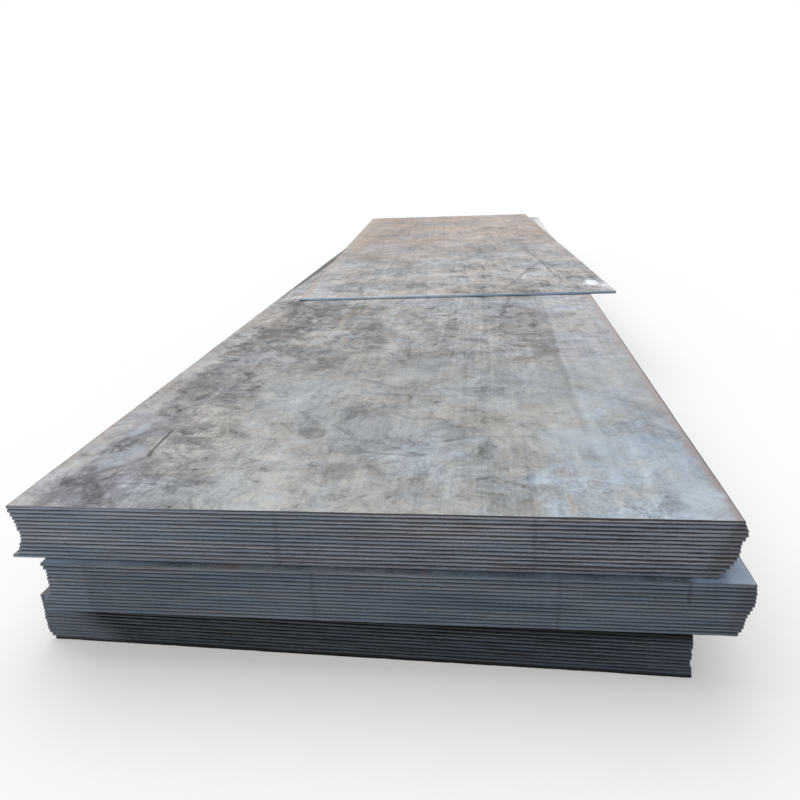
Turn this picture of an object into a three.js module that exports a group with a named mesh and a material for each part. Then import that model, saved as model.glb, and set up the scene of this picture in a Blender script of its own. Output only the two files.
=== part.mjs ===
// A stack of hot-rolled steel plates: three packs of plates laid on each other, and one loose plate on top.
// Millimetres, +Z up. The plates' front ends face -Y, their length runs along Y and their width along X.
// The origin is the middle of the floor that the whole stack covers.

import * as THREE from "three";

// Plates of the three packs
const STOCK_LENGTH = 6000;
const PLATES_PER_PACK = 14;
const SEAM = 0.3; // the air between two plates that lie on each other
const EDGE_ROUNDING = 2; // radius of the long corners of a plate, above and below
const CORNER_RADIUS = 4;

// The top pack, on whose middle and front end the other places are measured
const TOP_PACK_WIDTH = 1500;
const TOP_PACK_THICKNESS = 8.7; // one plate, with its mill scale and waviness

const MIDDLE_PACK_WIDTH = 1470;
const MIDDLE_PACK_THICKNESS = 8.2;
const MIDDLE_PACK_FORWARD = 20; // it stands out in front of the top pack
const MIDDLE_PACK_ASIDE = 45; // to the right

const LOWER_PACK_WIDTH = 1425;
const LOWER_PACK_THICKNESS = 8.2;
const LOWER_PACK_BACK = 20; // it lies further back than the top pack
const LOWER_PACK_ASIDE = -32;
const LOWER_PACK_TURN = 1.55; // degrees, seen from above, with its left end further back

// The loose plate on top
const LOOSE_PLATE_WIDTH = 1500;
const LOOSE_PLATE_LENGTH = 4000;
const LOOSE_PLATE_THICKNESS = 12;
const LOOSE_PLATE_BACK = 2180; // from the top pack's front end to the middle of its own
const LOOSE_PLATE_ASIDE = 120;
const LOOSE_PLATE_TURN = -3.2; // degrees, with its left end nearer

// How far a pack's plates slid sideways in it, at even steps from its top plate to its bottom one.
// Left: inwards from its nominal side. Right: outwards from its nominal side.
const TOP_PACK_LEFT = [2, 3, 7, 10, 12, 14, 14, 18, 18, 17, 13, 10, 5, -7];
const TOP_PACK_RIGHT = [2, 5, 9, 10, 6, 1, 0, 0, -1, -5, -10, -16, -23, -35];
const MIDDLE_PACK_LEFT = [5, 10, 15, 15, 15, 16, 16, 15, 12, 5, -1, -4, -2, -4];
const MIDDLE_PACK_RIGHT = [1, 2, 3, 2, 2, 1, -2, -6, -10, -12, -13, -14, -17, -22];
const LOWER_PACK_LEFT = [0, 0, 0, 0, 0, 1, 0, 0, 2, 2, 3, 5, 10, 17];
const LOWER_PACK_RIGHT = [-2, -1, 0, 1, 2, 2, 0, 1, 1, -1, 0, 3, 4, 5];
const END_SCATTER = 1.2; // how far a plate's front end stands in or out of its pack's front

const MILL_SCALE_GREY = 0x8f9296;
const SHADED_SCALE_GREY = 0x6f747a;
const LOWER_PACK_GREY = 0x4b4e50;
const LOOSE_PLATE_GREY = 0x9a9896;

// The value at a share (0 to 1) of the way down a list of evenly spaced values.
function along(values, share) {
  const place = share * (values.length - 1);
  const before = Math.min(Math.floor(place), values.length - 2);
  return THREE.MathUtils.lerp(values[before], values[before + 1], place - before);
}

// A steady, irregular value between -1 and 1 for each plate of a pack.
function scatter(index, pack) {
  return Math.sin(12.9898 * (index + 1) + 4.1414 * pack);
}

// A plate seen from above: a rectangle with small round corners, centred on its own middle.
function plateOutline(width, length) {
  const x = width / 2 - CORNER_RADIUS;
  const y = length / 2 - CORNER_RADIUS;
  const outline = new THREE.Shape();
  outline.absarc(x, -y, CORNER_RADIUS, -Math.PI / 2, 0);
  outline.absarc(x, y, CORNER_RADIUS, 0, Math.PI / 2);
  outline.absarc(-x, y, CORNER_RADIUS, Math.PI / 2, Math.PI);
  outline.absarc(-x, -y, CORNER_RADIUS, Math.PI, 1.5 * Math.PI);
  outline.closePath();
  return outline;
}

// One plate with its underside at z = 0, and its edges rounded above and below.
function plate(name, width, length, thickness, color) {
  const geometry = new THREE.ExtrudeGeometry(plateOutline(width, length), {
    depth: thickness - 2 * EDGE_ROUNDING,
    curveSegments: 2,
    bevelEnabled: true,
    bevelSegments: 2,
    bevelThickness: EDGE_ROUNDING,
    bevelSize: EDGE_ROUNDING,
    bevelOffset: -EDGE_ROUNDING,
  });
  geometry.translate(0, 0, EDGE_ROUNDING);
  const mesh = new THREE.Mesh(
    geometry,
    new THREE.MeshStandardMaterial({ color, metalness: 0.6, roughness: 0.6 }),
  );
  mesh.name = name;
  return mesh;
}

// A pack of plates. Its group stands at the middle of its front end, on the underside of its lowest plate.
function pack({ number, name, width, thickness, left, right, color }) {
  const group = new THREE.Group();
  for (let index = 0; index < PLATES_PER_PACK; index += 1) {
    const share = index / (PLATES_PER_PACK - 1);
    const leftEdge = -width / 2 + along(left, share);
    const rightEdge = width / 2 + along(right, share);
    const label = String(index + 1).padStart(2, "0");
    const mesh = plate(
      `${name}_plate_${label}`,
      rightEdge - leftEdge,
      STOCK_LENGTH,
      thickness,
      color,
    );
    mesh.position.set(
      (leftEdge + rightEdge) / 2,
      STOCK_LENGTH / 2 + END_SCATTER * scatter(index, number),
      (PLATES_PER_PACK - 1 - index) * (thickness + SEAM),
    );
    group.add(mesh);
  }
  return group;
}

function packHeight(thickness) {
  return PLATES_PER_PACK * (thickness + SEAM);
}

function topPack(height) {
  const group = pack({
    number: 1,
    name: "top_pack",
    width: TOP_PACK_WIDTH,
    thickness: TOP_PACK_THICKNESS,
    left: TOP_PACK_LEFT,
    right: TOP_PACK_RIGHT,
    color: MILL_SCALE_GREY,
  });
  group.position.set(0, 0, height);
  return group;
}

function middlePack(height) {
  const group = pack({
    number: 2,
    name: "middle_pack",
    width: MIDDLE_PACK_WIDTH,
    thickness: MIDDLE_PACK_THICKNESS,
    left: MIDDLE_PACK_LEFT,
    right: MIDDLE_PACK_RIGHT,
    color: SHADED_SCALE_GREY,
  });
  group.position.set(MIDDLE_PACK_ASIDE, -MIDDLE_PACK_FORWARD, height);
  return group;
}

function lowerPack() {
  const group = pack({
    number: 3,
    name: "lower_pack",
    width: LOWER_PACK_WIDTH,
    thickness: LOWER_PACK_THICKNESS,
    left: LOWER_PACK_LEFT,
    right: LOWER_PACK_RIGHT,
    color: LOWER_PACK_GREY,
  });
  group.position.set(LOWER_PACK_ASIDE, LOWER_PACK_BACK, 0);
  group.rotation.z = -THREE.MathUtils.degToRad(LOWER_PACK_TURN);
  return group;
}

function loosePlate(height) {
  const mesh = plate(
    "loose_plate",
    LOOSE_PLATE_WIDTH,
    LOOSE_PLATE_LENGTH,
    LOOSE_PLATE_THICKNESS,
    LOOSE_PLATE_GREY,
  );
  mesh.position.set(0, LOOSE_PLATE_LENGTH / 2, 0);
  const group = new THREE.Group();
  group.add(mesh);
  group.position.set(LOOSE_PLATE_ASIDE, LOOSE_PLATE_BACK, height);
  group.rotation.z = -THREE.MathUtils.degToRad(LOOSE_PLATE_TURN);
  return group;
}

const middleHeight = packHeight(LOWER_PACK_THICKNESS);
const topHeight = middleHeight + packHeight(MIDDLE_PACK_THICKNESS);
const looseHeight = topHeight + packHeight(TOP_PACK_THICKNESS);

const stack = new THREE.Group();
stack.add(topPack(topHeight), middlePack(middleHeight), lowerPack(), loosePlate(looseHeight));

// The stack is moved so that the middle of its bounding box is over the origin.
const box = new THREE.Box3().setFromObject(stack, true);
const centre = box.getCenter(new THREE.Vector3());
stack.position.set(-centre.x, -centre.y, -box.min.z);

const root = new THREE.Group();
root.add(stack);

export default root;
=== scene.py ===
"""Dresses a stack of hot-rolled steel plates: three packs of plates, and one loose plate on top.

Metres, +Z up. The plates' front ends face -Y, their length runs along Y and their width along X.
"""

import math

import bpy
from mathutils import Matrix, Vector


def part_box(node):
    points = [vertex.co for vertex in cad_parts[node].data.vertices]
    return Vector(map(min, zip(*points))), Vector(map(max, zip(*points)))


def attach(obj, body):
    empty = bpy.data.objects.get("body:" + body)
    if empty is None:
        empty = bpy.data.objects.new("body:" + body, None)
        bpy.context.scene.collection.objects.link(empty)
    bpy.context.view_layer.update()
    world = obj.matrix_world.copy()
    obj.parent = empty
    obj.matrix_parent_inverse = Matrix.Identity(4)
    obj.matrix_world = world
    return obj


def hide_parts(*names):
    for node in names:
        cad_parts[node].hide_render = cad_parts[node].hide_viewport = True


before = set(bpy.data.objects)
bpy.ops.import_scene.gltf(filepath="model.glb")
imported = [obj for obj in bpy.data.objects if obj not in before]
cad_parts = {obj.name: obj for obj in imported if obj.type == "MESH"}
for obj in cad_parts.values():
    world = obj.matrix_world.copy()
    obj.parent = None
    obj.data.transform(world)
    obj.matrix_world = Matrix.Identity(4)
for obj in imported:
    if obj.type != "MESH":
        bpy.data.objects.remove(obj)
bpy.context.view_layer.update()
scene = bpy.context.scene

# -------- sizes

PLATES_PER_PACK = 14
CORNER_RADIUS = 0.004
EDGE_DEPTH = 0.0026  # how far in the rounding of a plate's edge begins
EDGE_SQUARENESS = 2.3  # 2 is an ellipse, more is squarer
EDGE_ROWS = 9  # points from the bottom to the top of a plate's edge
CORNER_STEPS = 3
END_CUTS = 180  # points along a plate's end
SIDE_CUTS = 150  # and along its side
LOOSE_SIDE_CUTS = 120
LOWER_PACK_TURN = math.radians(-1.55)
LOOSE_PLATE_TURN = math.radians(3.2)

# The top pack
TOP_MIDDLE = -0.0084  # the middle of its nominal width
TOP_LEFT = -0.748  # its upper plate's left edge, from that middle
FRONT = -3.0971  # its front, from which its plates' ends stand a little in or out
TOP_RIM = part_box("top_pack_plate_01")[1][2]
LOOSE_FRONT = (0.0603, -0.9219, 0.0)  # the middle of the loose plate's front edge, once turned back


# -------- writing nodes

FLOAT = "NodeSocketFloat"
VECTOR = "NodeSocketVector"


class Nodes:
    """Writes nodes into one tree. A socket given as a value is linked, anything else is set."""

    def __init__(self, tree):
        self.tree = tree

    def add(self, kind, inputs=None, out=0, **settings):
        """One output of a new node, or the node itself where out is None."""
        made = self.tree.nodes.new(kind)
        for name, value in settings.items():
            setattr(made, name, value)
        for key, value in (inputs or {}).items():
            self.give(value, made.inputs[key])
        return made if out is None else made.outputs[out]

    def give(self, value, socket):
        if isinstance(value, bpy.types.NodeSocket):
            self.tree.links.new(value, socket)
        elif socket.type == "RGBA":
            socket.default_value = (*value, 1.0)
        else:
            socket.default_value = value

    def math(self, operation, first, second=0.0, third=0.0):
        return self.add("ShaderNodeMath", {0: first, 1: second, 2: third}, operation=operation)

    def plus(self, first, *others):
        for other in others:
            first = self.math("ADD", first, other)
        return first

    def less(self, first, second):
        return self.math("SUBTRACT", first, second)

    def times(self, first, *others):
        for other in others:
            first = self.math("MULTIPLY", first, other)
        return first

    def most(self, first, *others):
        for other in others:
            first = self.math("MAXIMUM", first, other)
        return first

    def vector(self, operation, first, second=(0.0, 0.0, 0.0), out=0):
        return self.add("ShaderNodeVectorMath", {0: first, 1: second}, out, operation=operation)

    def point(self, x=0.0, y=0.0, z=0.0):
        return self.add("ShaderNodeCombineXYZ", {0: x, 1: y, 2: z})

    def parts(self, vector):
        return self.add("ShaderNodeSeparateXYZ", {0: vector}, out=None).outputs

    def step(self, value, low, high, to_low=0.0, to_high=1.0):
        """A smooth step from one value to another, as the input goes from low to high."""
        values = {"Value": value, 1: low, 2: high, 3: to_low, 4: to_high}
        return self.add("ShaderNodeMapRange", values, interpolation_type="SMOOTHSTEP")

    def scaled(self, vector, by):
        """A vector or a colour, times a number."""
        return self.add("ShaderNodeVectorMath", {0: vector, "Scale": by}, operation="SCALE")

    def noise(self, place, scale, detail, roughness, out=0, **settings):
        values = {"Vector": place, "Scale": scale, "Detail": detail, "Roughness": roughness}
        return self.add("ShaderNodeTexNoise", values, out, **settings)

    def flat_noise(self, place, scale, detail, roughness, out=0):
        """Noise over X and Y only, for the faces."""
        return self.noise(place, scale, detail, roughness, out, noise_dimensions="2D")

    def stretched(self, place, scale, turn=0.0):
        """The place, turned about Z and scaled along each axis."""
        values = {"Vector": place, "Rotation": (0.0, 0.0, turn), "Scale": scale}
        return self.add("ShaderNodeMapping", values)

    def pushed(self, place, scale, detail, reach):
        """The place, pushed about by noise, so that what is drawn on it bends."""
        push = self.flat_noise(place, scale, detail, 0.6, out=1)
        push = self.vector("SUBTRACT", push, (0.5, 0.5, 0.5))
        return self.vector("ADD", place, self.scaled(push, reach))

    def blend(self, share, first, second):
        """One colour, blended with a second by a share."""
        return self.add("ShaderNodeMix", {0: share, 6: first, 7: second}, 2, data_type="RGBA")

    def group(self, shared, inputs, out=0):
        return self.add("ShaderNodeGroup", inputs, out, node_tree=shared)

    def close(self, kind, shader):
        """Ends a material or a surround with its shader."""
        output = self.tree.nodes.new(kind)
        self.tree.links.new(shader, output.inputs["Surface"])


def emptied(owner):
    """What writes into the node tree of a material or a surround, once that is empty."""
    owner.use_nodes = True
    owner.node_tree.nodes.clear()
    return Nodes(owner.node_tree)


def new_group(name, kind, inputs, outputs, output_kind=FLOAT):
    """An empty node group with its named sockets, and what writes into it."""
    tree = bpy.data.node_groups.new(name, kind)
    sockets = {}
    for label, socket_kind, value in inputs:
        socket = tree.interface.new_socket(label, in_out="INPUT", socket_type=socket_kind)
        if value is not None:
            socket.default_value = value
        sockets[label] = socket.identifier
    for label in outputs:
        tree.interface.new_socket(label, in_out="OUTPUT", socket_type=output_kind)
    nodes = Nodes(tree)
    given = tree.nodes.new("NodeGroupInput").outputs
    result = tree.nodes.new("NodeGroupOutput").inputs
    return tree, nodes, given, result, sockets


# -------- the plate's shape


def plate_outline(nodes, given, index):
    """Four round corners, with cuts along the straight stretch after each of them."""
    size = {"Width": given["Width"], "Height": given["Length"]}
    outline = nodes.add("GeometryNodeCurvePrimitiveQuadrilateral", size)
    corners = {"Curve": outline, "Count": CORNER_STEPS, "Radius": given["Corner Radius"]}
    outline = nodes.add("GeometryNodeFilletCurve", corners, mode="POLY")
    points = CORNER_STEPS + 1
    straight = nodes.math("COMPARE", nodes.math("MODULO", index, points), points - 1, 0.5)
    is_side = nodes.math("MODULO", nodes.math("FLOOR", nodes.math("DIVIDE", index, points)), 2)
    end_cuts = nodes.times(nodes.less(1, is_side), given["End Cuts"])
    cuts = nodes.times(straight, nodes.plus(nodes.times(is_side, given["Side Cuts"]), end_cuts))
    outline = nodes.add("GeometryNodeSubdivideCurve", {"Curve": outline, "Cuts": cuts})
    outline = nodes.add("GeometryNodeSetCurveNormal", {"Curve": outline}, mode="Z_UP")
    outwards = {"Geometry": outline, "Name": "outwards", "Value": nodes.add("GeometryNodeInputNormal")}
    return nodes.add(
        "GeometryNodeStoreNamedAttribute", outwards, data_type="FLOAT_VECTOR", domain="POINT"
    )


def edge_shape(nodes, given, index):
    """Half of a squared-off ellipse, from the lower face to the upper one."""
    angle = nodes.times(nodes.less(nodes.math("DIVIDE", index, EDGE_ROWS - 1), 0.5), math.pi)
    power = nodes.math("DIVIDE", 2.0, given["Edge Squareness"])
    inwards = nodes.math("POWER", nodes.most(nodes.math("COSINE", angle), 0.0), power)
    inwards = nodes.times(nodes.less(inwards, 1.0), given["Edge Depth"])
    sine = nodes.math("SINE", angle)
    height = nodes.math("POWER", nodes.math("ABSOLUTE", sine), power)
    height = nodes.times(nodes.math("SIGN", sine), height, 0.5, given["Thickness"])
    edge = nodes.add("GeometryNodeMeshLine", {"Count": EDGE_ROWS})
    edge = nodes.add("GeometryNodeSetPosition", {"Geometry": edge, "Position": nodes.point(inwards, height)})
    return nodes.add("GeometryNodeMeshToCurve", {"Mesh": edge})


def closed_plate(nodes, band, level, half):
    """The band round a plate, with the two faces that fill its open rims."""
    is_rim = nodes.math("COMPARE", nodes.add("GeometryNodeInputMeshEdgeNeighbors"), 1, 0.1)
    is_upper = nodes.math("GREATER_THAN", level, 0.0)
    is_upper_rim = nodes.add("FunctionNodeBooleanMath", {0: is_rim, 1: is_upper}, operation="AND")
    face = nodes.add("GeometryNodeMeshToCurve", {"Mesh": band, "Selection": is_upper_rim})
    face = nodes.add("GeometryNodeFillCurve", {"Curve": face}, mode="NGONS")
    up, down = nodes.point(z=half), nodes.point(z=nodes.times(half, -1.0))
    upper = nodes.add("GeometryNodeTransform", {"Geometry": face, "Translation": up})
    lower = nodes.add("GeometryNodeTransform", {"Geometry": face, "Translation": down})
    lower = nodes.add("GeometryNodeFlipFaces", {"Mesh": lower})
    joined = nodes.add("GeometryNodeJoinGeometry", out=None)
    for piece in (band, upper, lower):
        nodes.tree.links.new(piece, joined.inputs[0])
    return nodes.add("GeometryNodeMergeByDistance", {"Geometry": joined.outputs[0], "Distance": 0.00001})


def worn_plate(nodes, given, plate, place, share):
    """Its edge wanders in and out a little, and its corners are worn more here than there."""
    outwards = nodes.add("GeometryNodeInputNamedAttribute", {"Name": "outwards"}, data_type="FLOAT_VECTOR")
    outwards = nodes.vector("NORMALIZE", outwards)
    local = nodes.vector("ADD", place, nodes.point(nodes.times(given["Seed"], 7.3), given["Seed"]))
    long_wave = nodes.noise(local, 3.2, 2.0, 0.5)
    short_wave = nodes.noise(local, 42.0, 3.0, 0.6)
    wander = nodes.plus(nodes.times(long_wave, 0.8), nodes.times(short_wave, 0.35))
    wander = nodes.most(nodes.less(wander, 0.28), 0.0)
    in_depth = nodes.times(wander, given["Ripple"], -1.6)
    worn = nodes.step(nodes.noise(local, 6.5, 4.0, 0.65), 0.38, 0.68)
    corner = nodes.math("POWER", nodes.math("ABSOLUTE", share), 2.5)
    in_depth = nodes.less(in_depth, nodes.times(worn, corner, given["Wear"]))
    squeeze = nodes.times(worn, nodes.times(share, share), nodes.less(1.0, nodes.math("ABSOLUTE", share)))
    in_height = nodes.times(squeeze, nodes.math("SIGN", share), given["Wear"], -2.2)
    offset = nodes.vector("ADD", nodes.scaled(outwards, in_depth), nodes.point(z=in_height))
    return nodes.add("GeometryNodeSetPosition", {"Geometry": plate, "Offset": offset})


def plate_shape():
    """A rolled plate, centred on its own middle: a rounded outline swept with the shape of its edge."""
    tree, nodes, given, result, sockets = new_group(
        "Rolled Plate",
        "GeometryNodeTree",
        (
            ("Width", FLOAT, 1.5),
            ("Length", FLOAT, 6.0),
            ("Thickness", FLOAT, 0.0087),
            ("Corner Radius", FLOAT, CORNER_RADIUS),
            ("Edge Depth", FLOAT, EDGE_DEPTH),
            ("Edge Squareness", FLOAT, EDGE_SQUARENESS),
            ("End Cuts", "NodeSocketInt", END_CUTS),
            ("Side Cuts", "NodeSocketInt", SIDE_CUTS),
            ("Ripple", FLOAT, 0.0013),
            ("Wear", FLOAT, 0.0018),
            ("Seed", FLOAT, 0.0),
            ("Face Finish", "NodeSocketMaterial", None),
            ("Edge Finish", "NodeSocketMaterial", None),
        ),
        ("Plate",),
        "NodeSocketGeometry",
    )
    index = nodes.add("GeometryNodeInputIndex")
    place = nodes.add("GeometryNodeInputPosition")
    level = nodes.parts(place)[2]
    half = nodes.times(given["Thickness"], 0.5)
    curves = {"Curve": plate_outline(nodes, given, index), "Profile Curve": edge_shape(nodes, given, index)}
    plate = closed_plate(nodes, nodes.add("GeometryNodeCurveToMesh", curves), level, half)

    # How high each point lies in the thickness: -1 on the lower face, 1 on the upper one
    share = nodes.math("DIVIDE", level, half)
    for name, value in (("level", share), ("number", given["Seed"])):
        values = {"Geometry": plate, "Name": name, "Value": value}
        plate = nodes.add("GeometryNodeStoreNamedAttribute", values, data_type="FLOAT", domain="POINT")
    plate = worn_plate(nodes, given, plate, place, share)

    upright = nodes.math("ABSOLUTE", nodes.parts(nodes.add("GeometryNodeInputNormal"))[2])
    is_edge = nodes.math("LESS_THAN", upright, 0.9999)
    smooth = {"Geometry": plate, "Selection": is_edge, "Shade Smooth": True}
    plate = nodes.add("GeometryNodeSetShadeSmooth", smooth, domain="FACE")
    plate = nodes.add("GeometryNodeRemoveAttribute", {"Geometry": plate, "Name": "outwards"})
    plate = nodes.add("GeometryNodeRealizeInstances", {"Geometry": plate})
    plate = nodes.add("GeometryNodeSetMaterial", {"Geometry": plate, "Material": given["Face Finish"]})
    edge_finish = {"Geometry": plate, "Selection": is_edge, "Material": given["Edge Finish"]}
    nodes.give(nodes.add("GeometryNodeSetMaterial", edge_finish), result[0])
    return tree, sockets


# -------- effects that the finishes share


def stain_group():
    """A ragged round or long stain at one place on a face."""
    tree, nodes, given, result, _ = new_group(
        "Stain",
        "ShaderNodeTree",
        (
            ("Place", VECTOR, None),
            ("Rag", FLOAT, 0.0),
            ("Middle", VECTOR, (0.0, 0.0, 0.0)),
            ("Across", VECTOR, (10.0, 0.0, 0.0)),
            ("Along", VECTOR, (0.0, 10.0, 0.0)),
            ("Softness", FLOAT, 0.5),
        ),
        ("Mask",),
    )
    offset = nodes.vector("SUBTRACT", given["Place"], given["Middle"])
    across = nodes.vector("DOT_PRODUCT", offset, given["Across"], out=1)
    along = nodes.vector("DOT_PRODUCT", offset, given["Along"], out=1)
    distance = nodes.plus(nodes.times(across, across), nodes.times(along, along))
    distance = nodes.plus(nodes.math("SQRT", distance), given["Rag"])
    nodes.give(nodes.step(distance, nodes.less(1.0, given["Softness"]), 1.0, 1.0, 0.0), result[0])
    return tree


def stroke_group():
    """A thin mark from one point to another, as a scratch or a chalk line."""
    tree, nodes, given, result, _ = new_group(
        "Stroke",
        "ShaderNodeTree",
        (
            ("Place", VECTOR, None),
            ("Breaks", FLOAT, 0.0),
            ("From", VECTOR, (0.0, 0.0, 0.0)),
            ("Along", VECTOR, (0.0, 0.1, 0.0)),
            ("Width", FLOAT, 0.003),
        ),
        ("Mask",),
    )
    offset = nodes.vector("SUBTRACT", given["Place"], given["From"])
    offset = nodes.vector("MULTIPLY", offset, (1.0, 1.0, 0.0))
    share = nodes.vector("DOT_PRODUCT", offset, given["Along"], out=1)
    share = nodes.math("DIVIDE", share, nodes.vector("DOT_PRODUCT", given["Along"], given["Along"], out=1))
    near = nodes.add("ShaderNodeClamp", {0: share, 1: 0.0, 2: 1.0})
    away = nodes.vector("DISTANCE", offset, nodes.scaled(given["Along"], near), out=1)
    broken = nodes.step(given["Breaks"], -0.2, 0.05, 0.35, 1.0)
    line = nodes.step(away, nodes.times(given["Width"], 0.3), given["Width"], 1.0, 0.0)
    nodes.give(nodes.times(line, broken), result[0])
    return tree


def scratches_group():
    """Long fine scratches in one direction, broken up and fading in and out."""
    tree, nodes, given, result, _ = new_group(
        "Scratches",
        "ShaderNodeTree",
        (
            ("Place", VECTOR, None),
            ("Cloud", FLOAT, 0.0),
            ("Turn", VECTOR, (0.0, 0.0, 0.0)),
            ("Scale", FLOAT, 3.0),
        ),
        ("Mask",),
    )
    turned = {"Vector": given["Place"], "Rotation": given["Turn"]}
    turned = nodes.add("ShaderNodeVectorRotate", turned, rotation_type="EULER_XYZ")
    cells = nodes.add(
        "ShaderNodeTexVoronoi",
        {"Vector": nodes.vector("MULTIPLY", turned, (4.0, 0.55, 0.0)), "Scale": given["Scale"]},
        feature="DISTANCE_TO_EDGE",
        voronoi_dimensions="2D",
    )
    line = nodes.step(cells, 0.0, 0.018, 1.0, 0.0)
    nodes.give(nodes.times(line, nodes.step(given["Cloud"], 0.0, 0.05)), result[0])
    return tree


def mill_scale_group(scratches):
    """The rolled face of a plate: cloudy, smeared and streaked mill scale, as a shade around 1."""
    tree, nodes, given, result, _ = new_group(
        "Mill Scale",
        "ShaderNodeTree",
        (
            ("Place", VECTOR, None),
            ("Contrast", FLOAT, 1.0),
            ("Streaks", FLOAT, 1.0),
            ("Flecks", FLOAT, 1.0),
        ),
        ("Shade", "Warmth", "Gloss", "Relief"),
    )
    place = given["Place"]
    moved = nodes.pushed(place, 3.4, 2.0, 0.17)

    def spread(scale, turn, detail, roughness, where=moved):
        """Noise around 0, stretched in a direction."""
        turned = nodes.stretched(where, scale, turn)
        return nodes.less(nodes.flat_noise(turned, 1.0, detail, roughness), 0.5)

    clouds = spread((2.3, 1.9, 1.0), 0.3, 7.0, 0.88)
    patches = spread((11.0, 8.0, 1.0), 0.5, 4.0, 0.9)
    grain = spread((120.0, 90.0, 1.0), 0.0, 2.0, 0.9, place)
    rolling = spread((38.0, 0.9, 1.0), 0.0, 4.0, 0.85, place)
    smears = spread((24.0, 8.0, 1.0), -0.75, 3.0, 0.8)
    shade = nodes.plus(nodes.times(clouds, 1.95), nodes.times(patches, 0.95), nodes.times(grain, 0.62))
    streaks = nodes.times(rolling, given["Streaks"], 0.55)
    shade = nodes.plus(shade, streaks, nodes.times(smears, 0.38))

    # Soft dark smudges, pale patches where the scale is rubbed off, and small dark flecks
    where = nodes.flat_noise(nodes.vector("ADD", moved, (3.1, 8.4, 0.0)), 5.0, 4.0, 0.65)
    smudge = nodes.step(where, 0.46, 0.3)
    rubbed_and_highlit = nodes.step(where, 0.54, 0.7)
    shade = nodes.less(shade, nodes.times(smudge, 0.24))
    shade = nodes.plus(shade, nodes.times(rubbed_and_highlit, 0.12))
    flecks = spread((12.0, 24.0, 1.0), -0.35, 3.0, 0.62)
    flecks = nodes.step(nodes.plus(flecks, nodes.times(patches, 0.6)), -0.1, -0.28)
    shade = nodes.less(shade, nodes.times(flecks, given["Flecks"], 0.26))
    creases = nodes.math("ABSOLUTE", spread((24.0, 30.0, 1.0), -0.5, 2.0, 0.5))
    gate = nodes.step(spread((7.0, 9.0, 1.0), 0.4, 2.0, 0.6), 0.05, 0.15)
    creases = nodes.times(nodes.step(creases, 0.085, 0.02), gate)
    shade = nodes.less(shade, nodes.times(creases, given["Flecks"], 0.2))
    for cloud, turn, scale in ((clouds, 1.15, 3.0), (patches, -0.65, 2.4)):
        values = {"Place": moved, "Cloud": cloud, "Turn": (0.0, 0.0, turn), "Scale": scale}
        shade = nodes.less(shade, nodes.times(nodes.group(scratches, values), 0.12))
    shade = nodes.plus(1.0, nodes.times(shade, given["Contrast"]))
    nodes.give(nodes.most(shade, 0.12), result["Shade"])

    warmth = nodes.flat_noise(nodes.vector("ADD", moved, (7.7, 1.3, 0.0)), 2.6, 5.0, 0.75)
    warmth = nodes.plus(nodes.times(nodes.less(warmth, 0.5), 2.6), nodes.times(rolling, 0.7))
    nodes.give(nodes.plus(warmth, nodes.times(rubbed_and_highlit, 0.15)), result["Warmth"])
    nodes.give(nodes.plus(nodes.times(smudge, -0.06), nodes.times(grain, 0.3)), result["Gloss"])
    nodes.give(nodes.plus(nodes.times(rolling, 0.4), nodes.times(grain, 0.5)), result["Relief"])
    return tree


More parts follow.
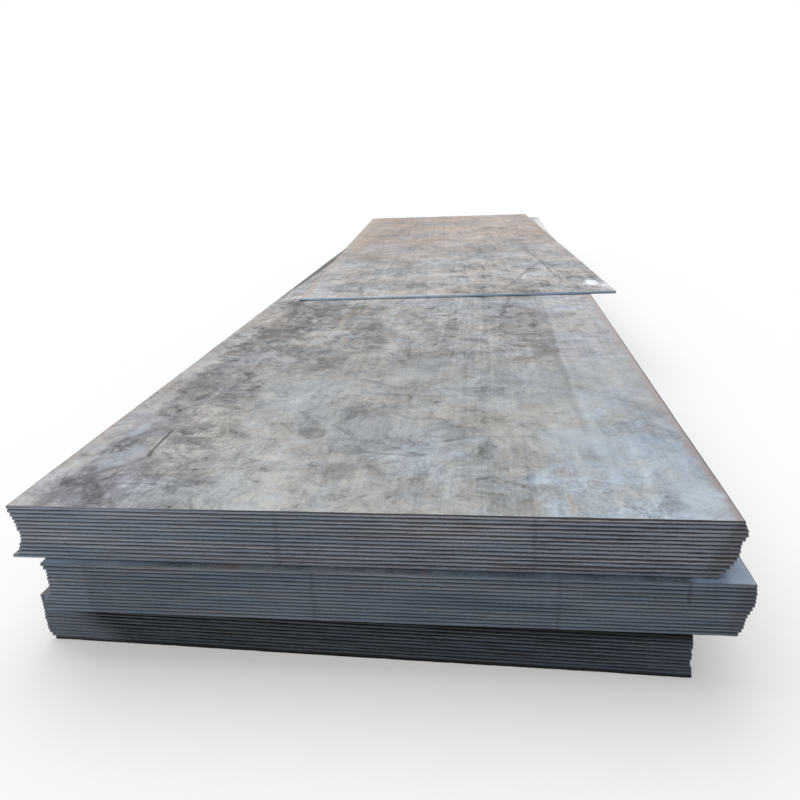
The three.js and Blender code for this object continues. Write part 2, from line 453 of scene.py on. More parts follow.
def cut_end_group():
    """The rolled and sheared edge of a plate: dirt and painted shade at the corners, a burnished middle with
    a painted highlight, shear marks and specks.
    """
    tree, nodes, given, result, _ = new_group(
        "Cut End",
        "ShaderNodeTree",
        (
            ("Place", VECTOR, None),
            ("Level", FLOAT, 0.0),
            ("Number", FLOAT, 0.0),
            ("Corner Darkening", FLOAT, 0.6),
            ("Burnish And Highlight", FLOAT, 0.5),
        ),
        ("Shade", "Warmth", "Darkening", "Rust", "Relief"),
    )
    place = given["Place"]

    def spread(where, scale, detail, roughness):
        """Noise around 0, stretched along the edge."""
        return nodes.less(nodes.noise(nodes.stretched(where, scale), 1.0, detail, roughness), 0.5)

    # Each plate has clouds of its own, and shares others with its neighbours
    own = nodes.vector("MULTIPLY", place, (1.0, 1.0, 0.0))
    own = nodes.vector("ADD", own, nodes.point(z=nodes.times(given["Number"], 3.7)))
    slow = spread(own, (1.6, 1.6, 1.0), 3.0, 0.6)
    quick = spread(own, (11.0, 11.0, 1.7), 5.0, 0.75)
    shared = spread(place, (2.6, 2.6, 32.0), 2.0, 0.6)
    marks = spread(place, (300.0, 300.0, 60.0), 2.0, 0.6)
    shade = nodes.plus(nodes.times(slow, 1.1), nodes.times(quick, 0.8))
    shade = nodes.plus(shade, nodes.plus(nodes.times(shared, 0.7), nodes.times(marks, 0.4)))
    shade = nodes.plus(1.0, shade)

    # A burnished line with a painted highlight, wandering round the middle, and darkening that thickens
    # towards the seams: dirt and painted shade
    drift = nodes.plus(0.14, nodes.times(nodes.plus(slow, quick), 0.9))
    height = nodes.math("ABSOLUTE", nodes.plus(given["Level"], drift))
    # A painted highlight, with some burnish, along the middle of each plate's rounded edge, where light would
    # catch it
    rubbed_and_highlit = nodes.step(nodes.plus(height, quick), 0.75, 0.0)
    shade = nodes.times(shade, nodes.plus(0.86, nodes.times(rubbed_and_highlit, given["Burnish And Highlight"])))
    # Dirt and painted shade darken the edge towards the seams between the plates
    darkening_edge = nodes.less(0.66, nodes.times(nodes.plus(quick, slow), 1.3))
    darkening = nodes.step(height, nodes.less(darkening_edge, 0.3), nodes.plus(darkening_edge, 0.4))
    nodes.give(nodes.times(darkening, given["Corner Darkening"]), result["Darkening"])
    specks = spread(place, (34.0, 34.0, 150.0), 3.0, 0.75)
    shade = nodes.times(shade, nodes.step(specks, -0.22, -0.14, 0.35, 1.0))
    nodes.give(nodes.most(shade, 0.02), result["Shade"])
    nodes.give(nodes.plus(nodes.times(slow, 1.3), nodes.plus(shared, quick)), result["Warmth"])
    rust = spread(place, (16.0, 16.0, 110.0), 3.0, 0.7)
    nodes.give(nodes.step(rust, 0.2, 0.26), result["Rust"])
    nodes.give(marks, result["Relief"])
    return tree


# -------- the finishes

stain = stain_group()
stroke = stroke_group()
scratches = scratches_group()
mill_scale = mill_scale_group(scratches)
cut_end = cut_end_group()

RUST = (0.3, 0.15, 0.075)
# The seams' dark tone: dirt and painted shade between the plates
SEAM_DARK_TONE = (0.031, 0.036, 0.042)
STRAP_DIRT = (0.05, 0.055, 0.065)
METALLIC = 0.25
SPECULAR = 0.4
ROUGHNESS = 0.46
RELIEF_STRENGTH = 0.35
RELIEF_HEIGHT = 0.0012


def steel(name, colours, turn=0.0):
    """A dull steel, whose colour, roughness and relief are written over its place."""
    material = bpy.data.materials.new(name)
    nodes = emptied(material)
    place = nodes.add("ShaderNodeTexCoord", out=3)
    if turn:
        place = nodes.stretched(place, (1.0, 1.0, 1.0), turn)
    colour, roughness, relief = colours(nodes, place)
    bump = {"Strength": RELIEF_STRENGTH, "Distance": RELIEF_HEIGHT, "Height": relief}
    values = {
        "Base Color": colour,
        "Metallic": METALLIC,
        "Roughness": roughness,
        "Specular IOR Level": SPECULAR,
        "Normal": nodes.add("ShaderNodeBump", bump),
    }
    nodes.close("ShaderNodeOutputMaterial", nodes.add("ShaderNodeBsdfPrincipled", values))
    return material


def scaled_face(name, warm, cool, marks=None, settings=None, turn=0.0):
    """The mill scale on the two faces of a plate."""

    def colours(nodes, place):
        values = {"Place": place}
        if settings:
            values.update(settings(nodes, *nodes.parts(place)[:2]))
        face = nodes.group(mill_scale, values, out=None).outputs
        colour = nodes.blend(nodes.step(face["Warmth"], -0.45, 0.45), cool, warm)
        colour = nodes.scaled(colour, face["Shade"])
        if marks:
            colour = marks(nodes, place, colour)
        return colour, nodes.plus(ROUGHNESS, face["Gloss"]), face["Relief"]

    return steel(name, colours, turn)


def cut_edge(name, left, right, darkening=(0.6, 0.6), seam=SEAM_DARK_TONE, burnish_and_highlight=0.45, lines=None, turn=0.0):
    """The sheared ends and sides of a plate. Its colours and its darkening, dirt and painted shade, go from
    the left to the right.
    """

    def colours(nodes, place):
        across = (nodes.parts(place)[0], -0.8, 0.75)
        values = {
            "Place": place,
            "Level": nodes.add("ShaderNodeAttribute", attribute_name="level", out=2),
            "Number": nodes.add("ShaderNodeAttribute", attribute_name="number", out=2),
            "Corner Darkening": nodes.step(*across, *darkening),
            "Burnish And Highlight": burnish_and_highlight,
        }
        end = nodes.group(cut_end, values, out=None).outputs
        warmth = nodes.step(end["Warmth"], -0.5, 0.5)
        tint = nodes.blend(warmth, (0.9, 1.0, 1.08), (1.1, 1.0, 0.92))
        colour = nodes.vector("MULTIPLY", nodes.blend(nodes.step(*across), left, right), tint)
        colour = nodes.scaled(colour, end["Shade"])
        colour = nodes.blend(end["Darkening"], colour, seam)
        colour = nodes.blend(nodes.times(end["Rust"], 0.7), colour, RUST)
        if lines:
            colour = lines(nodes, place, colour)
        return colour, ROUGHNESS, nodes.times(end["Relief"], 0.5)

    return steel(name, colours, turn)


class Marks:
    """Paints stains, strokes and bands over a face's colour, placed from a point of its own."""

    def __init__(self, nodes, place, origin, colour):
        self.nodes = nodes
        self.colour = colour
        self.place = nodes.vector("SUBTRACT", place, origin)
        self.x, self.y = nodes.parts(self.place)[:2]
        self.rag = nodes.less(nodes.flat_noise(self.place, 13.0, 5.0, 0.75), 0.5)
        self.bent = nodes.pushed(self.place, 9.0, 1.0, 0.025)

    def stains(self, *spots, share=1.0, ragged=0.9, softness=0.85):
        """A mask of spots. Each one: middle x and y, reach x and y, and its turn if it has one."""
        rag = self.nodes.times(self.rag, ragged * 4.0)
        masks = []
        for spot in spots:
            x, y, reach_x, reach_y, turn = (*spot, 0.0)[:5]
            values = {
                "Place": self.place,
                "Rag": rag,
                "Middle": (x, y, 0.0),
                "Across": (math.cos(turn) / reach_x, -math.sin(turn) / reach_x, 0.0),
                "Along": (math.sin(turn) / reach_y, math.cos(turn) / reach_y, 0.0),
                "Softness": softness,
            }
            masks.append(self.nodes.group(stain, values))
        return self.nodes.times(self.nodes.most(*masks), share)

    def strokes(self, *lines, place=None):
        """A mask of thin lines. Each one: where it starts, which way it goes, its width and strength."""
        masks = []
        for x, y, along_x, along_y, width, strength in lines:
            values = {
                "Place": place or self.bent,
                "Breaks": self.rag,
                "From": (x, y, 0.0),
                "Along": (along_x, along_y, 0.0),
                "Width": width,
            }
            masks.append(self.nodes.times(self.nodes.group(stroke, values), strength))
        return self.nodes.most(*masks)

    def limit(self, value, low, high, ragged=0.1):
        """A soft, ragged step from 0 to 1, as a value goes from low to high."""
        return self.nodes.step(self.nodes.plus(value, self.nodes.times(self.rag, ragged)), low, high)

    def paint(self, tone, *masks):
        """Covers the colour with a tone, as strongly as the product of the masks."""
        self.colour = self.nodes.blend(self.nodes.times(*masks), self.colour, tone)

    def tint(self, tone, *masks):
        """Multiplies the colour by a tone, as strongly as the product of the masks."""
        full = self.nodes.vector("MULTIPLY", self.colour, tone)
        values = {0: self.nodes.times(*masks), 4: self.colour, 5: full}
        self.colour = self.nodes.add("ShaderNodeMix", values, 1, data_type="VECTOR")


def top_face_tones(marks):
    """Darker on the left, with a paler strip along its edge, and a painted sheen, paler and bluer, on the
    right.
    """
    nodes, x, y = marks.nodes, marks.x, marks.y
    far = marks.limit(y, 0.9, 1.3)
    left = marks.limit(x, -0.4, -0.52, 0.5)
    marks.tint((1.01, 0.99, 1.0), far)
    marks.tint((0.795, 0.78, 0.815), left)
    marks.tint((0.855, 0.845, 0.8), left, far)
    strip = marks.limit(nodes.less(x, nodes.times(y, 0.028)), -0.68, -0.7)
    marks.tint((1.55, 1.52, 1.47), strip)
    marks.tint((1.16, 1.15, 1.15), strip, marks.limit(y, 0.25, 0.1))
    # A painted sheen: paler and bluer towards the right, most of all near the front
    marks.tint((1.09, 1.115, 1.14), marks.limit(x, 0.28, 0.46, 0.6))
    marks.tint((1.1, 1.11, 1.13), marks.limit(x, 0.505, 0.52, 0.03))
    marks.tint((1.135, 1.13, 1.15), marks.limit(x, 0.45, 0.6), marks.limit(y, 0.7, 1.4))
    marks.tint((1.05, 1.14, 1.25), marks.limit(x, 0.32, 0.5, 0.9), marks.limit(y, 0.66, 0.46, 0.9))
    marks.tint((1.04, 1.04, 1.035), marks.limit(x, -0.42, -0.32), marks.limit(y, 0.9, 0.6))
    worn = nodes.times(marks.limit(x, 0.3, 0.36), marks.limit(x, 0.62, 0.52))
    marks.tint((0.92, 0.895, 0.87), worn, marks.limit(y, 0.17, 0.1))
    marks.tint((0.955, 0.96, 0.965), marks.limit(y, 0.13, 0.07))
    cold = marks.stains(
        (0.2, 0.32, 0.22, 0.22), (-0.03, 0.09, 0.2, 0.12), (0.62, 1.1, 0.08, 0.14), ragged=0.6
    )
    marks.tint((0.95, 1.01, 1.08), cold)

    # Painted light before the loose plate, whose front edge lies askew: it lifts the shade that the loose
    # plate casts there
    before = nodes.plus(y, nodes.times(x, 0.056))
    marks.tint((1.2, 1.21, 1.23), marks.limit(before, 1.93, 2.08, 0.5))
    lit_near_plate = nodes.times(nodes.step(before, 2.09, 2.13), nodes.step(before, 2.23, 2.19))
    marks.tint((1.15, 1.15, 1.16), lit_near_plate, marks.limit(x, 0.4, 0.2))


def top_face_stains(marks):
    """Stains, from the broad and faint ones to the small and dark ones."""
    purple = marks.stains(
        (-0.6, 0.1, 0.15, 0.14), (-0.63, 0.88, 0.08, 0.17, 0.1), (-0.49, 0.78, 0.1, 0.14, 0.3)
    )
    marks.tint((0.58, 0.565, 0.605), purple)
    broad = marks.stains(
        (-0.53, 0.43, 0.16, 0.15, 0.3), (-0.42, 0.16, 0.1, 0.08),
        (-0.3, 1.04, 0.14, 0.14, 0.4), (-0.09, 0.6, 0.11, 0.07, 0.3),
        (-0.055, 0.215, 0.12, 0.08),
    )
    marks.tint((0.66, 0.655, 0.67), broad)
    brown = marks.stains(
        (-0.55, 1.52, 0.17, 0.32), (-0.42, 1.24, 0.1, 0.16, 0.6),
        (-0.12, 1.44, 0.14, 0.16), (0.44, 1.28, 0.11, 0.26, 0.1),
        (-0.32, 1.8, 0.18, 0.18),
    )
    marks.tint((0.68, 0.655, 0.635), brown)
    dark = marks.stains(
        (-0.66, 0.195, 0.03, 0.018, 0.1), (-0.65, 0.12, 0.036, 0.03, -0.5),
        (-0.665, 0.545, 0.032, 0.03, -0.4), (-0.583, 0.062, 0.026, 0.028, 0.2),
        (-0.437, 0.83, 0.022, 0.055, 0.1), (-0.575, 0.735, 0.022, 0.045, 0.4),
        (-0.635, 0.95, 0.03, 0.045), (-0.33, 0.57, 0.034, 0.022, 0.5),
        (-0.185, 0.44, 0.04, 0.03, 0.6), (0.402, 0.582, 0.024, 0.018, 0.5),
        (0.09, 0.306, 0.034, 0.012, 0.3),
        ragged=1.2, softness=0.95,
    )
    marks.tint((0.46, 0.455, 0.49), dark)
    dark_far = marks.stains(
        (-0.31, 1.11, 0.04, 0.07, 0.1), (-0.475, 1.75, 0.045, 0.12, 0.1),
        (-0.585, 1.48, 0.04, 0.16), (-0.5, 1.53, 0.06, 0.11, 0.3),
        (0.45, 1.6, 0.02, 0.06), (0.375, 2.03, 0.02, 0.06),
        (0.17, 1.77, 0.014, 0.04, 0.1), (-0.335, 2.04, 0.014, 0.05, 0.1),
        ragged=1.1, softness=0.95,
    )
    marks.tint((0.52, 0.495, 0.475), dark_far)


def top_face_rubbed_places(marks):
    """Places where the scale is rubbed pale, and a smeared ring."""
    nodes = marks.nodes
    cream = marks.stains(
        (-0.2, 0.17, 0.07, 0.06), (-0.385, 0.73, 0.05, 0.04, 0.2),
        (-0.25, 0.27, 0.05, 0.02, 0.2), (-0.455, 0.93, 0.02, 0.07, 0.2),
        share=0.55, ragged=1.1, softness=0.9,
    )
    marks.paint((0.47, 0.455, 0.43), cream)
    pale = marks.stains(
        (0.56, 0.11, 0.02, 0.06), (-0.43, 1.12, 0.04, 0.06, 0.2),
        (-0.31, 1.51, 0.06, 0.07), (-0.13, 1.68, 0.03, 0.06),
        (-0.07, 1.26, 0.035, 0.12), (-0.36, 1.92, 0.03, 0.07),
        share=0.55, ragged=1.1, softness=0.9,
    )
    marks.paint((0.46, 0.468, 0.477), pale)
    bluish = marks.stains(
        (-0.62, 0.27, 0.055, 0.1, -0.2),
        (-0.65, 0.46, 0.02, 0.08),
        (-0.06, 1.38, 0.035, 0.05),
        share=0.6, softness=0.95,
    )
    marks.paint((0.36, 0.42, 0.48), bluish)
    frosty = marks.stains(
        (0.68, 0.07, 0.05, 0.09, 0.2), (0.47, 0.4, 0.09, 0.1, 0.9), share=0.4, ragged=0.8, softness=0.95
    )
    rubbed_line = marks.strokes(
        (0.53, 0.33, -0.004, 0.46, 0.024, 0.22), (0.522, 0.8, -0.002, 0.4, 0.012, 0.15)
    )
    marks.paint((0.5, 0.58, 0.66), nodes.most(frosty, rubbed_line))

    flat = nodes.vector("MULTIPLY", marks.bent, (1.0, 1.0, 0.0))
    away = nodes.vector("DISTANCE", flat, (-0.175, 0.428, 0.0), out=1)
    away = nodes.plus(away, nodes.times(marks.rag, 0.05))
    ring = nodes.times(nodes.step(away, 0.006, 0.028), nodes.step(away, 0.048, 0.028))
    marks.paint((0.06, 0.06, 0.065), ring, 0.55)


def top_face_scratches(marks):
    """Dark scratches, of which two are straight, and rusty ones."""
    lines = marks.strokes(
        (-0.67, 0.12, 0.13, 0.15, 0.012, 0.4), (-0.68, 0.34, 0.12, 0.17, 0.012, 0.35),
        (-0.565, 0.118, 0.1, 0.0, 0.005, 0.5), (-0.04, 0.32, 0.13, -0.03, 0.01, 0.45),
        (-0.25, 0.585, 0.07, -0.1, 0.014, 0.35), (-0.12, 0.89, 0.11, -0.08, 0.014, 0.35),
        (-0.06, 0.745, 0.18, -0.015, 0.014, 0.4), (-0.565, 1.68, -0.035, 0.27, 0.012, 0.6),
        (-0.6, 1.95, 0.0, 0.22, 0.012, 0.5), (0.33, 1.78, 0.04, 0.4, 0.014, 0.5),
        (0.34, 1.9, 0.06, 0.14, 0.012, 0.4), (-0.46, 1.86, 0.02, 0.1, 0.016, 0.5),
        (-0.56, 0.22, 0.2, 0.03, 0.006, 0.25), (0.1, 0.41, 0.28, 0.01, 0.008, 0.25),
        (0.512, 0.46, -0.006, 0.62, 0.018, 0.16), (0.505, 1.1, 0.004, 0.7, 0.014, 0.2),
    )
    straight = marks.strokes(
        (-0.549, 0.272, -0.006, 0.03, 0.009, 1.0),
        (-0.555, 0.302, -0.005, 0.14, 0.006, 0.95),
        place=marks.place,
    )
    marks.paint((0.035, 0.035, 0.04), marks.nodes.most(lines, straight))
    rusty = marks.strokes(
        (-0.34, 1.66, 0.02, 0.3, 0.016, 0.45), (-0.275, 1.86, 0.0, 0.3, 0.01, 0.45),
        (-0.255, 1.2, -0.02, 0.2, 0.008, 0.5), (0.432, 0.02, 0.0, 0.09, 0.006, 0.5),
        (-0.11, 1.75, 0.005, 0.1, 0.006, 0.45),
    )
    marks.paint((0.36, 0.25, 0.15), rusty)


def top_face_edges(marks):
    """Rust creeps in from the long edges, and the strip left of the loose plate is darkened with painted
    shade.
    """
    nodes, x, y = marks.nodes, marks.x, marks.y
    rust = nodes.most(marks.limit(x, 0.728, 0.75, 0.06), marks.limit(x, -0.733, -0.75, 0.05))
    marks.paint(RUST, rust, 0.45)
    rim_colour = nodes.blend(nodes.step(y, 0.1, 1.6), (0.31, 0.255, 0.27), (0.45, 0.37, 0.36))
    pink_rim = marks.limit(nodes.plus(x, nodes.times(y, 0.005)), 0.722, 0.747, 0.05)
    marks.colour = nodes.blend(nodes.times(pink_rim, 0.85), marks.colour, rim_colour)
    marks.tint((0.96, 0.985, 1.01), marks.limit(y, 2.2, 2.3), marks.limit(y, 3.2, 2.9))
    # Painted shade along the strip left of the loose plate, weaker far away
    reach = nodes.plus(nodes.step(y, 1.9, 3.4, 0.0016, 0.0416), nodes.times(marks.rag, 0.02))
    inside = nodes.less(nodes.less(x, TOP_LEFT), reach)
    painted_shade_strip = nodes.times(nodes.step(inside, 0.005, -0.003), nodes.step(y, 1.3, 2.05, 0.0, 0.95))
    marks.paint((0.05, 0.042, 0.036), painted_shade_strip, nodes.step(y, 3.3, 4.0, 1.0, 0.55))
    bare = marks.stains((0.735, 4.9, 0.06, 1.3), share=0.9, ragged=0.3, softness=0.5)
    marks.paint((0.74, 0.77, 0.77), bare)


def top_face_marks(nodes, place, colour):
    """What lies on the top pack's upper face, placed from the middle of its front edge."""
    marks = Marks(nodes, place, (TOP_MIDDLE, FRONT, 0.0), colour)
    for draw in (top_face_tones, top_face_stains, top_face_rubbed_places, top_face_scratches, top_face_edges):
        draw(marks)
    return marks.colour


def loose_face_marks(nodes, place, colour):
    """What lies on the loose plate, placed from the middle of its front edge."""
    marks = Marks(nodes, place, LOOSE_FRONT, colour)
    x, y = marks.x, marks.y

    # Browner far away, paler on the right, and a brown band along the left edge
    marks.tint((1.065, 0.92, 0.81), marks.limit(y, 0.6, 3.0, 1.2))
    marks.tint((1.08, 1.09, 1.11), marks.limit(x, 0.1, 0.5, 1.0))
    marks.tint((0.87, 0.85, 0.84), marks.limit(x, -0.1, -0.45, 1.0), marks.limit(y, 0.1, 0.9))
    near_band = nodes.times(marks.limit(x, -0.695, -0.74), nodes.step(y, 0.15, 0.55, 0.6, 0.08))
    far_band = nodes.times(marks.limit(x, -0.655, -0.725), nodes.step(y, 1.2, 2.4, 0.0, 0.5))
    marks.paint((0.52, 0.41, 0.32), nodes.most(near_band, far_band))
    rusty = marks.strokes(
        (-0.738, 0.06, 0.02, 1.4, 0.02, 0.3),
        (-0.66, 1.6, 0.03, 1.2, 0.04, 0.35),
        (0.7, 1.2, 0.02, 2.0, 0.03, 0.3),
    )
    marks.paint((0.46, 0.29, 0.18), rusty)
    lines = marks.strokes(
        (0.235, 0.107, 0.283, 0.878, 0.016, 0.5), (0.518, 0.985, 0.05, 0.1, 0.016, 0.5),
        (0.483, 1.689, 0.035, -0.704, 0.014, 0.4), (0.518, 0.985, 0.024, -0.715, 0.014, 0.45),
        (0.22, 0.37, 0.12, -0.01, 0.03, 0.45),
    )
    marks.paint((0.08, 0.075, 0.075), lines)
    chalk = marks.stains((0.676, 0.22, 0.045, 0.11, 0.1), ragged=0.45, softness=0.6)
    smudged = marks.stains(
        (0.728, 0.16, 0.03, 0.06, 0.2), (0.645, 0.13, 0.02, 0.04), share=0.7, ragged=0.5, softness=0.8
    )
    marks.paint((0.88, 0.91, 0.95), nodes.most(chalk, smudged))
    marks.paint((0.52, 0.52, 0.54), marks.stains((-0.02, 0.58, 0.16, 0.08, 0.1), share=0.6, ragged=0.6))
    broad = marks.stains(
        (0.28, 0.03, 0.24, 0.05), (-0.45, 0.35, 0.16, 0.12, 0.2),
        (-0.3, 0.75, 0.16, 0.16), (0.3, 0.3, 0.12, 0.1, 0.1),
        (-0.52, 1.3, 0.12, 0.3), (0.1, 1.5, 0.3, 0.3),
        ragged=0.6,
    )
    marks.tint((0.76, 0.75, 0.75), broad)
    return marks.colour


def middle_face_marks(nodes, place, colour):
    """The strips that stick out from under the top pack: painted light, lighter and bluer, at both ends, and
    a painted bluish reflection on the right corner.
    """
    marks = Marks(nodes, place, (0.0, 0.0, 0.0), colour)
    x = marks.x
    # Painted light at the left end, which light reaches from the side
    lit_left_end = marks.limit(x, -0.35, -0.75, 0.3)
    marks.paint((0.355, 0.435, 0.55), lit_left_end)
    # Painted light and a painted bluish reflection on the open corner at the right
    lit_right_corner = nodes.times(marks.limit(x, 0.655, 0.7, 0.25), nodes.step(x, 0.755, 0.72, 0.7, 0.95))
    marks.tint((0.87, 0.92, 0.985), marks.limit(x, -0.1, 0.25, 0.3))
    marks.paint((0.385, 0.485, 0.635), lit_right_corner, nodes.step(marks.rag, -0.3, 0.05, 0.7, 1.0))
    near, nearer = FRONT - 0.002, FRONT - 0.005
    rusty = marks.stains((-0.27, near, 0.05, 0.03), (0.13, nearer, 0.01, 0.01), share=0.6, ragged=0.6)
    marks.paint((0.2, 0.14, 0.12), rusty)
    return marks.colour


def strap_lines(positions, corner, rust=0.0, rim=None):
    """Faint upright lines down a pack's ends, left by straps, with rust at its right corner and a dark rim.

    Each line: its place, width, strength and lowest point. The corner: how far it reaches to the right,
    how high it lies, and how far the pack leans in for each metre below it. The rim: how high it lies.
    """
    reach, height, lean = corner

    def draw(nodes, place, colour):
        x, _, z = nodes.parts(place)[:3]
        if rim:
            dark = nodes.step(z, rim - 0.0032, rim - 0.0014, 0.0, 0.85)
            colour = nodes.blend(nodes.times(dark, nodes.step(x, -0.5, -0.2)), colour, SEAM_DARK_TONE)
        for position, width, strength, lowest in positions:
            away = nodes.math("ABSOLUTE", nodes.less(x, position))
            line = nodes.step(away, width * 0.3, width, strength, 0.0)
            line = nodes.times(line, nodes.step(z, lowest, lowest + 0.01))
            colour = nodes.blend(line, colour, STRAP_DIRT)
        corner_x = nodes.plus(x, nodes.times(nodes.less(height, z), lean))
        rusted = nodes.step(corner_x, reach - 0.03, reach, 0.0, rust)
        return nodes.blend(rusted, colour, (0.1, 0.08, 0.068))

    return draw


def middle_end_dirt(nodes, place, colour):
    """The middle pack's ends are cleaner left of their first strap line than between the straps."""
    x = nodes.parts(place)[0]
    dull = nodes.times(nodes.step(x, -0.602, -0.592), nodes.step(x, -0.5, -0.1, 0.2, 0.06))
    colour = nodes.blend(dull, colour, STRAP_DIRT)
    straps = ((-0.1, 0.008, 0.2, 0.0), (0.4, 0.007, 0.18, 0.0), (0.648, 0.006, 0.4, 0.185))
    return strap_lines(straps, (0.766, 0.242, 0.26), 0.35)(nodes, place, colour)


def lower_end_light_and_shade(nodes, place, colour):
    """The lower pack's ends: painted light at the left corner, lighter and bluer towards the right, and
    painted shade, blackest close under the overhang and along the bottom.
    """
    x, _, z = nodes.parts(place)[:3]
    # Painted light at the left end, where light reaches in under the overhang from the side
    slant = nodes.plus(x, nodes.times(z, 1.2))
    colour = nodes.blend(nodes.step(slant, -0.512, -0.612, 0.0, 0.87), colour, (0.24, 0.265, 0.31))
    colour = nodes.blend(nodes.step(x, 0.45, 0.75, 0.0, 0.4), colour, (0.155, 0.178, 0.222))
    # Painted shade close under the middle pack's overhang, and a painted shadow along the bottom where the
    # pack meets the floor
    shaded_band = nodes.times(nodes.step(z, 0.074, 0.104), nodes.step(x, -0.7, -0.64), 0.95)
    bottom_shadow = nodes.step(z, 0.0085, 0.0055, 0.0, 0.95)
    return nodes.blend(nodes.most(shaded_band, bottom_shadow), colour, (0.012, 0.012, 0.012))


def loose_sides_without_reflection(nodes, place, colour):
    """The loose plate's long sides, in a duller colour than its ends, without their painted reflection."""
    away = nodes.math("ABSOLUTE", nodes.less(nodes.parts(place)[0], LOOSE_FRONT[0]))
    return nodes.blend(nodes.step(away, 0.742, 0.747, 0.0, 0.8), colour, (0.26, 0.27, 0.29))


def top_face_settings(nodes, x, y):
    """The left of the top pack is blotchier than its right, and its far parts than its front."""
    back = nodes.less(y, FRONT)
    mottled = nodes.times(nodes.step(x, 0.34, 0.44), nodes.step(x, 0.66, 0.58), nodes.step(back, 0.25, 0.08))
    left, right = nodes.step(x, -0.6, -0.3, 0.5, 0.0), nodes.step(x, 0.25, 0.5, 1.0, 0.6)
    contrast = nodes.plus(left, right, nodes.times(mottled, 0.35))
    contrast = nodes.less(contrast, nodes.step(x, -0.67, -0.7, 0.0, 0.65))
    return {
        "Contrast": nodes.times(contrast, nodes.step(back, 0.9, 1.4, 1.08, 1.6)),
        "Flecks": nodes.step(x, -0.6, -0.25, 1.4, 1.0),
        "Streaks": nodes.step(x, -0.35, 0.25, 0.8, 1.3),
    }


def loose_face_settings(nodes, _, y):
    """The loose plate is blotchier near its front than far away."""
    back = nodes.less(y, LOOSE_FRONT[1])
    contrast = nodes.step(back, 0.4, 1.6, 1.45, 1.05)
    return {"Contrast": contrast, "Streaks": nodes.step(back, 0.0, 1.0, 1.3, 1.2)}


def finishes():
    """The face and the edge of each pack's plates."""
    # The top and middle packs' edges are bluer than their faces and paler at the left: partly the steel's own
    # tone, partly painted light from the sky and from the left
    top_straps = ((-0.172, 0.008, 0.2, 0.0), (0.35, 0.007, 0.2, 0.0))
    return {
        "top_pack": (
            scaled_face(
                "top pack scale",
                warm=(0.291, 0.279, 0.26),
                cool=(0.274, 0.294, 0.318),
                marks=top_face_marks,
                settings=top_face_settings,
            ),
            cut_edge(
                "top pack edge",
                left=(0.362, 0.392, 0.448),
                right=(0.33, 0.345, 0.385),
                darkening=(0.42, 0.82),
                lines=strap_lines(top_straps, (0.742, TOP_RIM, 0.45), 0.4, TOP_RIM),
            ),
        ),
        "middle_pack": (
            scaled_face(
                "middle pack scale",
                # Darker than the top pack's face: painted shade, as this face shows only as ledges under the
                # top pack
                warm=(0.2, 0.215, 0.24),
                cool=(0.165, 0.195, 0.23),
                marks=middle_face_marks,
            ),
            cut_edge(
                "middle pack edge",
                left=(0.28, 0.318, 0.371),
                right=(0.246, 0.28, 0.332),
                darkening=(0.42, 0.45),
                burnish_and_highlight=0.35,
                lines=middle_end_dirt,
            ),
        ),
        # Face and edge far darker than the packs above: painted shade, for the lowest pack under their
        # overhang
        "lower_pack": (
            scaled_face("lower pack scale", warm=(0.11, 0.11, 0.11), cool=(0.1, 0.105, 0.115)),
            cut_edge(
                "lower pack edge",
                left=(0.108, 0.123, 0.13),
                right=(0.11, 0.128, 0.158),
                darkening=(0.9, 0.9),
                seam=(0.019, 0.022, 0.025),
                burnish_and_highlight=0.75,
                lines=lower_end_light_and_shade,
            ),
        ),
        "loose": (
            scaled_face(
                "loose plate scale",
                warm=(0.381, 0.341, 0.313),
                cool=(0.338, 0.35, 0.38),
                marks=loose_face_marks,
                settings=loose_face_settings,
                turn=-LOOSE_PLATE_TURN,
            ),
            cut_edge(
                "loose plate edge",
                # Pale blue ends: a painted reflection of the sky
                left=(0.66, 0.8, 0.94),
                right=(0.49, 0.6, 0.73),
                darkening=(0.0, 0.2),
                burnish_and_highlight=0.2,
                lines=loose_sides_without_reflection,
                turn=-LOOSE_PLATE_TURN,
            ),
        ),
    }


# -------- making the plates


def plate_size(low, high, turn):
    """The size of a turned plate, from the box round it."""
    cosine, sine = math.cos(turn), abs(math.sin(turn))
    across = high[0] - low[0] - 2 * CORNER_RADIUS
    along = high[1] - low[1] - 2 * CORNER_RADIUS
    share = cosine * cosine - sine * sine
    width = (across * cosine - along * sine) / share + 2 * CORNER_RADIUS
    length = (along * cosine - across * sine) / share + 2 * CORNER_RADIUS
    return {"Width": width, "Length": length, "Thickness": high[2] - low[2]}


def add_object(name, data):
    made = bpy.data.objects.new(name, data)
    scene.collection.objects.link(made)
    return made


def make_plate(name, node, turn, finish, slot, seed, side_cuts=SIDE_CUTS):
    """A plate in the place of a node of the frame, as a plain mesh."""
    low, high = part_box(node)
    maker = add_object("maker", bpy.data.meshes.new("maker"))
    modifier = maker.modifiers.new("plate", "NODES")
    modifier.node_group = shape
    values = plate_size(low, high, turn)
    values.update({"Side Cuts": side_cuts, "Seed": float(seed)})
    values.update({"Face Finish": finish[0], "Edge Finish": finish[1]})
    for label, value in values.items():
        modifier[shape_sockets[label]] = value
    graph = bpy.context.evaluated_depsgraph_get()
    mesh = bpy.data.meshes.new_from_object(maker.evaluated_get(graph), depsgraph=graph)
    bpy.data.objects.remove(maker)
    middle = (Vector(low) + Vector(high)) / 2
    mesh.transform(Matrix.Translation(middle) @ Matrix.Rotation(turn, 4, "Z"))
    mesh.name = name
    plate = add_object(name, mesh)
    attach(plate, "root")
    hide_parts(node)


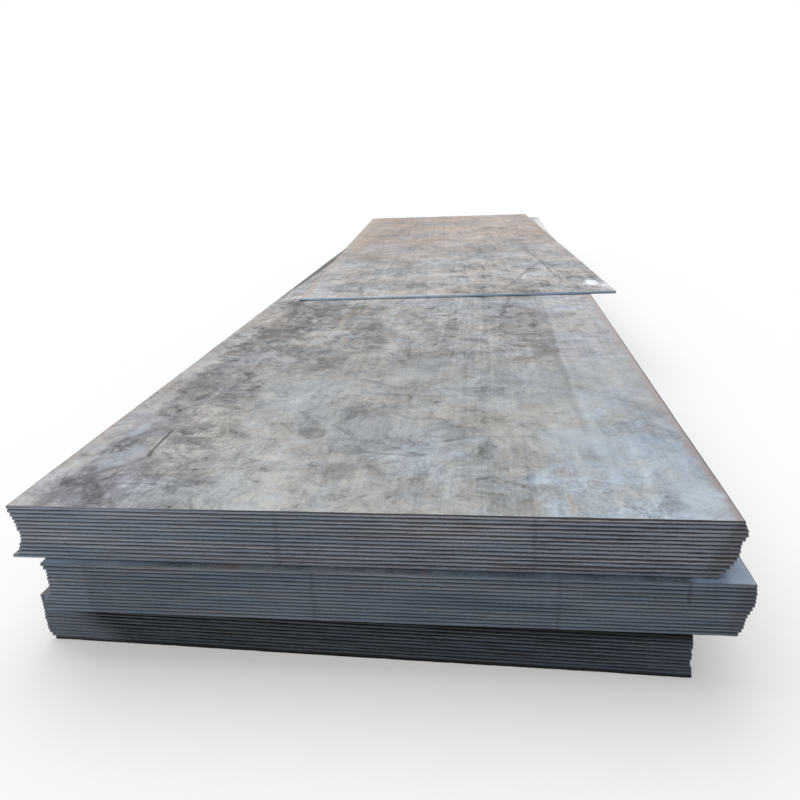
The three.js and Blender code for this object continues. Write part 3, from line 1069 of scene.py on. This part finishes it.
shape, shape_sockets = plate_shape()
finish_of = finishes()
seed = 1
for pack, turn in (("top_pack", 0.0), ("middle_pack", 0.0), ("lower_pack", LOWER_PACK_TURN)):
    for number in range(1, PLATES_PER_PACK + 1):
        name = f"{pack}_rolled_plate_{number:02d}"
        make_plate(name, f"{pack}_plate_{number:02d}", turn, finish_of[pack], f"{pack}_scale", seed)
        seed += 1
loose = ("loose_rolled_plate", "loose_plate", LOOSE_PLATE_TURN, finish_of["loose"], "loose_plate_scale")
make_plate(*loose, seed, LOOSE_SIDE_CUTS)

# -------- floor, light and camera

WHITE = (1.0, 1.0, 1.0)
FLOOR_REACH = 90.0
FLOOR_GLOW = 0.35  # the share of white glow in what the camera sees of the floor
SKY_FRONT = 0.3
SKY_BEHIND = 0.15  # added behind the stack
SKY_TOP = 0.15  # added overhead
RENDER_WIDTH = 800  # pixels
FOCAL_LENGTH = 739.7  # pixels
SENSOR_WIDTH = 36.0  # millimetres
FARTHEST_SEEN = 300.0
CAMERA_PLACE = (0.25274, -4.39961, 1.0558)
CAMERA_TURN = 6.955  # degrees: to the left, down, and about its own axis
CAMERA_DOWN = 19.014
CAMERA_ROLL = 2.07


def add_floor():
    """A pale floor that shows evenly to the camera, and throws little light back up at the stack."""
    mesh = bpy.data.meshes.new("floor")
    corners = [(x * FLOOR_REACH, y * FLOOR_REACH, 0.0) for x, y in ((-1, -1), (1, -1), (1, 1), (-1, 1))]
    mesh.from_pydata(corners, [], [(0, 1, 2, 3)])
    material = bpy.data.materials.new("pale floor")
    nodes = emptied(material)
    is_seen = nodes.add("ShaderNodeLightPath", out=0)
    tone = nodes.blend(is_seen, (0.45, 0.46, 0.48), (0.93, 0.93, 0.93))
    paint = nodes.add("ShaderNodeBsdfDiffuse", {"Color": tone})
    glow = nodes.add("ShaderNodeEmission", {"Color": WHITE, "Strength": 1.0})
    mixed = nodes.add("ShaderNodeMixShader", {0: nodes.times(is_seen, FLOOR_GLOW), 1: paint, 2: glow})
    nodes.close("ShaderNodeOutputMaterial", mixed)
    mesh.materials.append(material)
    add_object("floor", mesh)


def add_soft_sun(name, direction, strength, spread, colour):
    """A broad, far-off light that shines along a direction, the same all over the floor."""
    data = bpy.data.lights.new(name, "SUN")
    data.energy = strength
    data.angle = math.radians(spread)
    data.color = colour
    add_object(name, data).rotation_euler = Vector(direction).to_track_quat("-Z", "Y").to_euler()


def add_sky():
    """A soft surround: brighter overhead and behind the stack than in front of it."""
    world = bpy.data.worlds.new("surround")
    scene.world = world
    nodes = emptied(world)
    way = nodes.parts(nodes.add("ShaderNodeTexCoord", out=0))
    behind = nodes.times(nodes.step(way[1], -0.6, 0.7), SKY_BEHIND)
    strength = nodes.plus(SKY_FRONT, behind, nodes.times(nodes.step(way[2], 0.0, 0.8), SKY_TOP))
    light = nodes.add("ShaderNodeBackground", {"Color": (0.93, 0.97, 1.0), "Strength": strength})
    seen = nodes.add("ShaderNodeBackground", {"Color": WHITE, "Strength": 1.0})
    is_seen = nodes.add("ShaderNodeLightPath", out=0)
    nodes.close("ShaderNodeOutputWorld", nodes.add("ShaderNodeMixShader", {0: is_seen, 1: light, 2: seen}))


def add_camera():
    data = bpy.data.cameras.new("camera")
    data.sensor_width = SENSOR_WIDTH
    data.lens = SENSOR_WIDTH * FOCAL_LENGTH / RENDER_WIDTH
    data.clip_end = FARTHEST_SEEN
    camera = add_object("camera", data)
    turn = (
        Matrix.Rotation(math.radians(CAMERA_TURN), 3, "Z")
        @ Matrix.Rotation(math.radians(90 - CAMERA_DOWN), 3, "X")
        @ Matrix.Rotation(-math.radians(CAMERA_ROLL), 3, "Z")
    )
    camera.matrix_world = Matrix.Translation(CAMERA_PLACE) @ turn.to_4x4()
    scene.camera = camera


add_floor()
add_sky()
add_soft_sun(
    "high light behind", direction=(0.25, -0.55, -1.0), strength=2.1, spread=70, colour=(1.0, 0.985, 0.96)
)
add_soft_sun(
    "low light from the left front",
    direction=(0.7, 1.0, -0.7), strength=0.25, spread=60, colour=(0.9, 0.95, 1.0),
)
add_camera()
scene.view_settings.view_transform = "Standard"
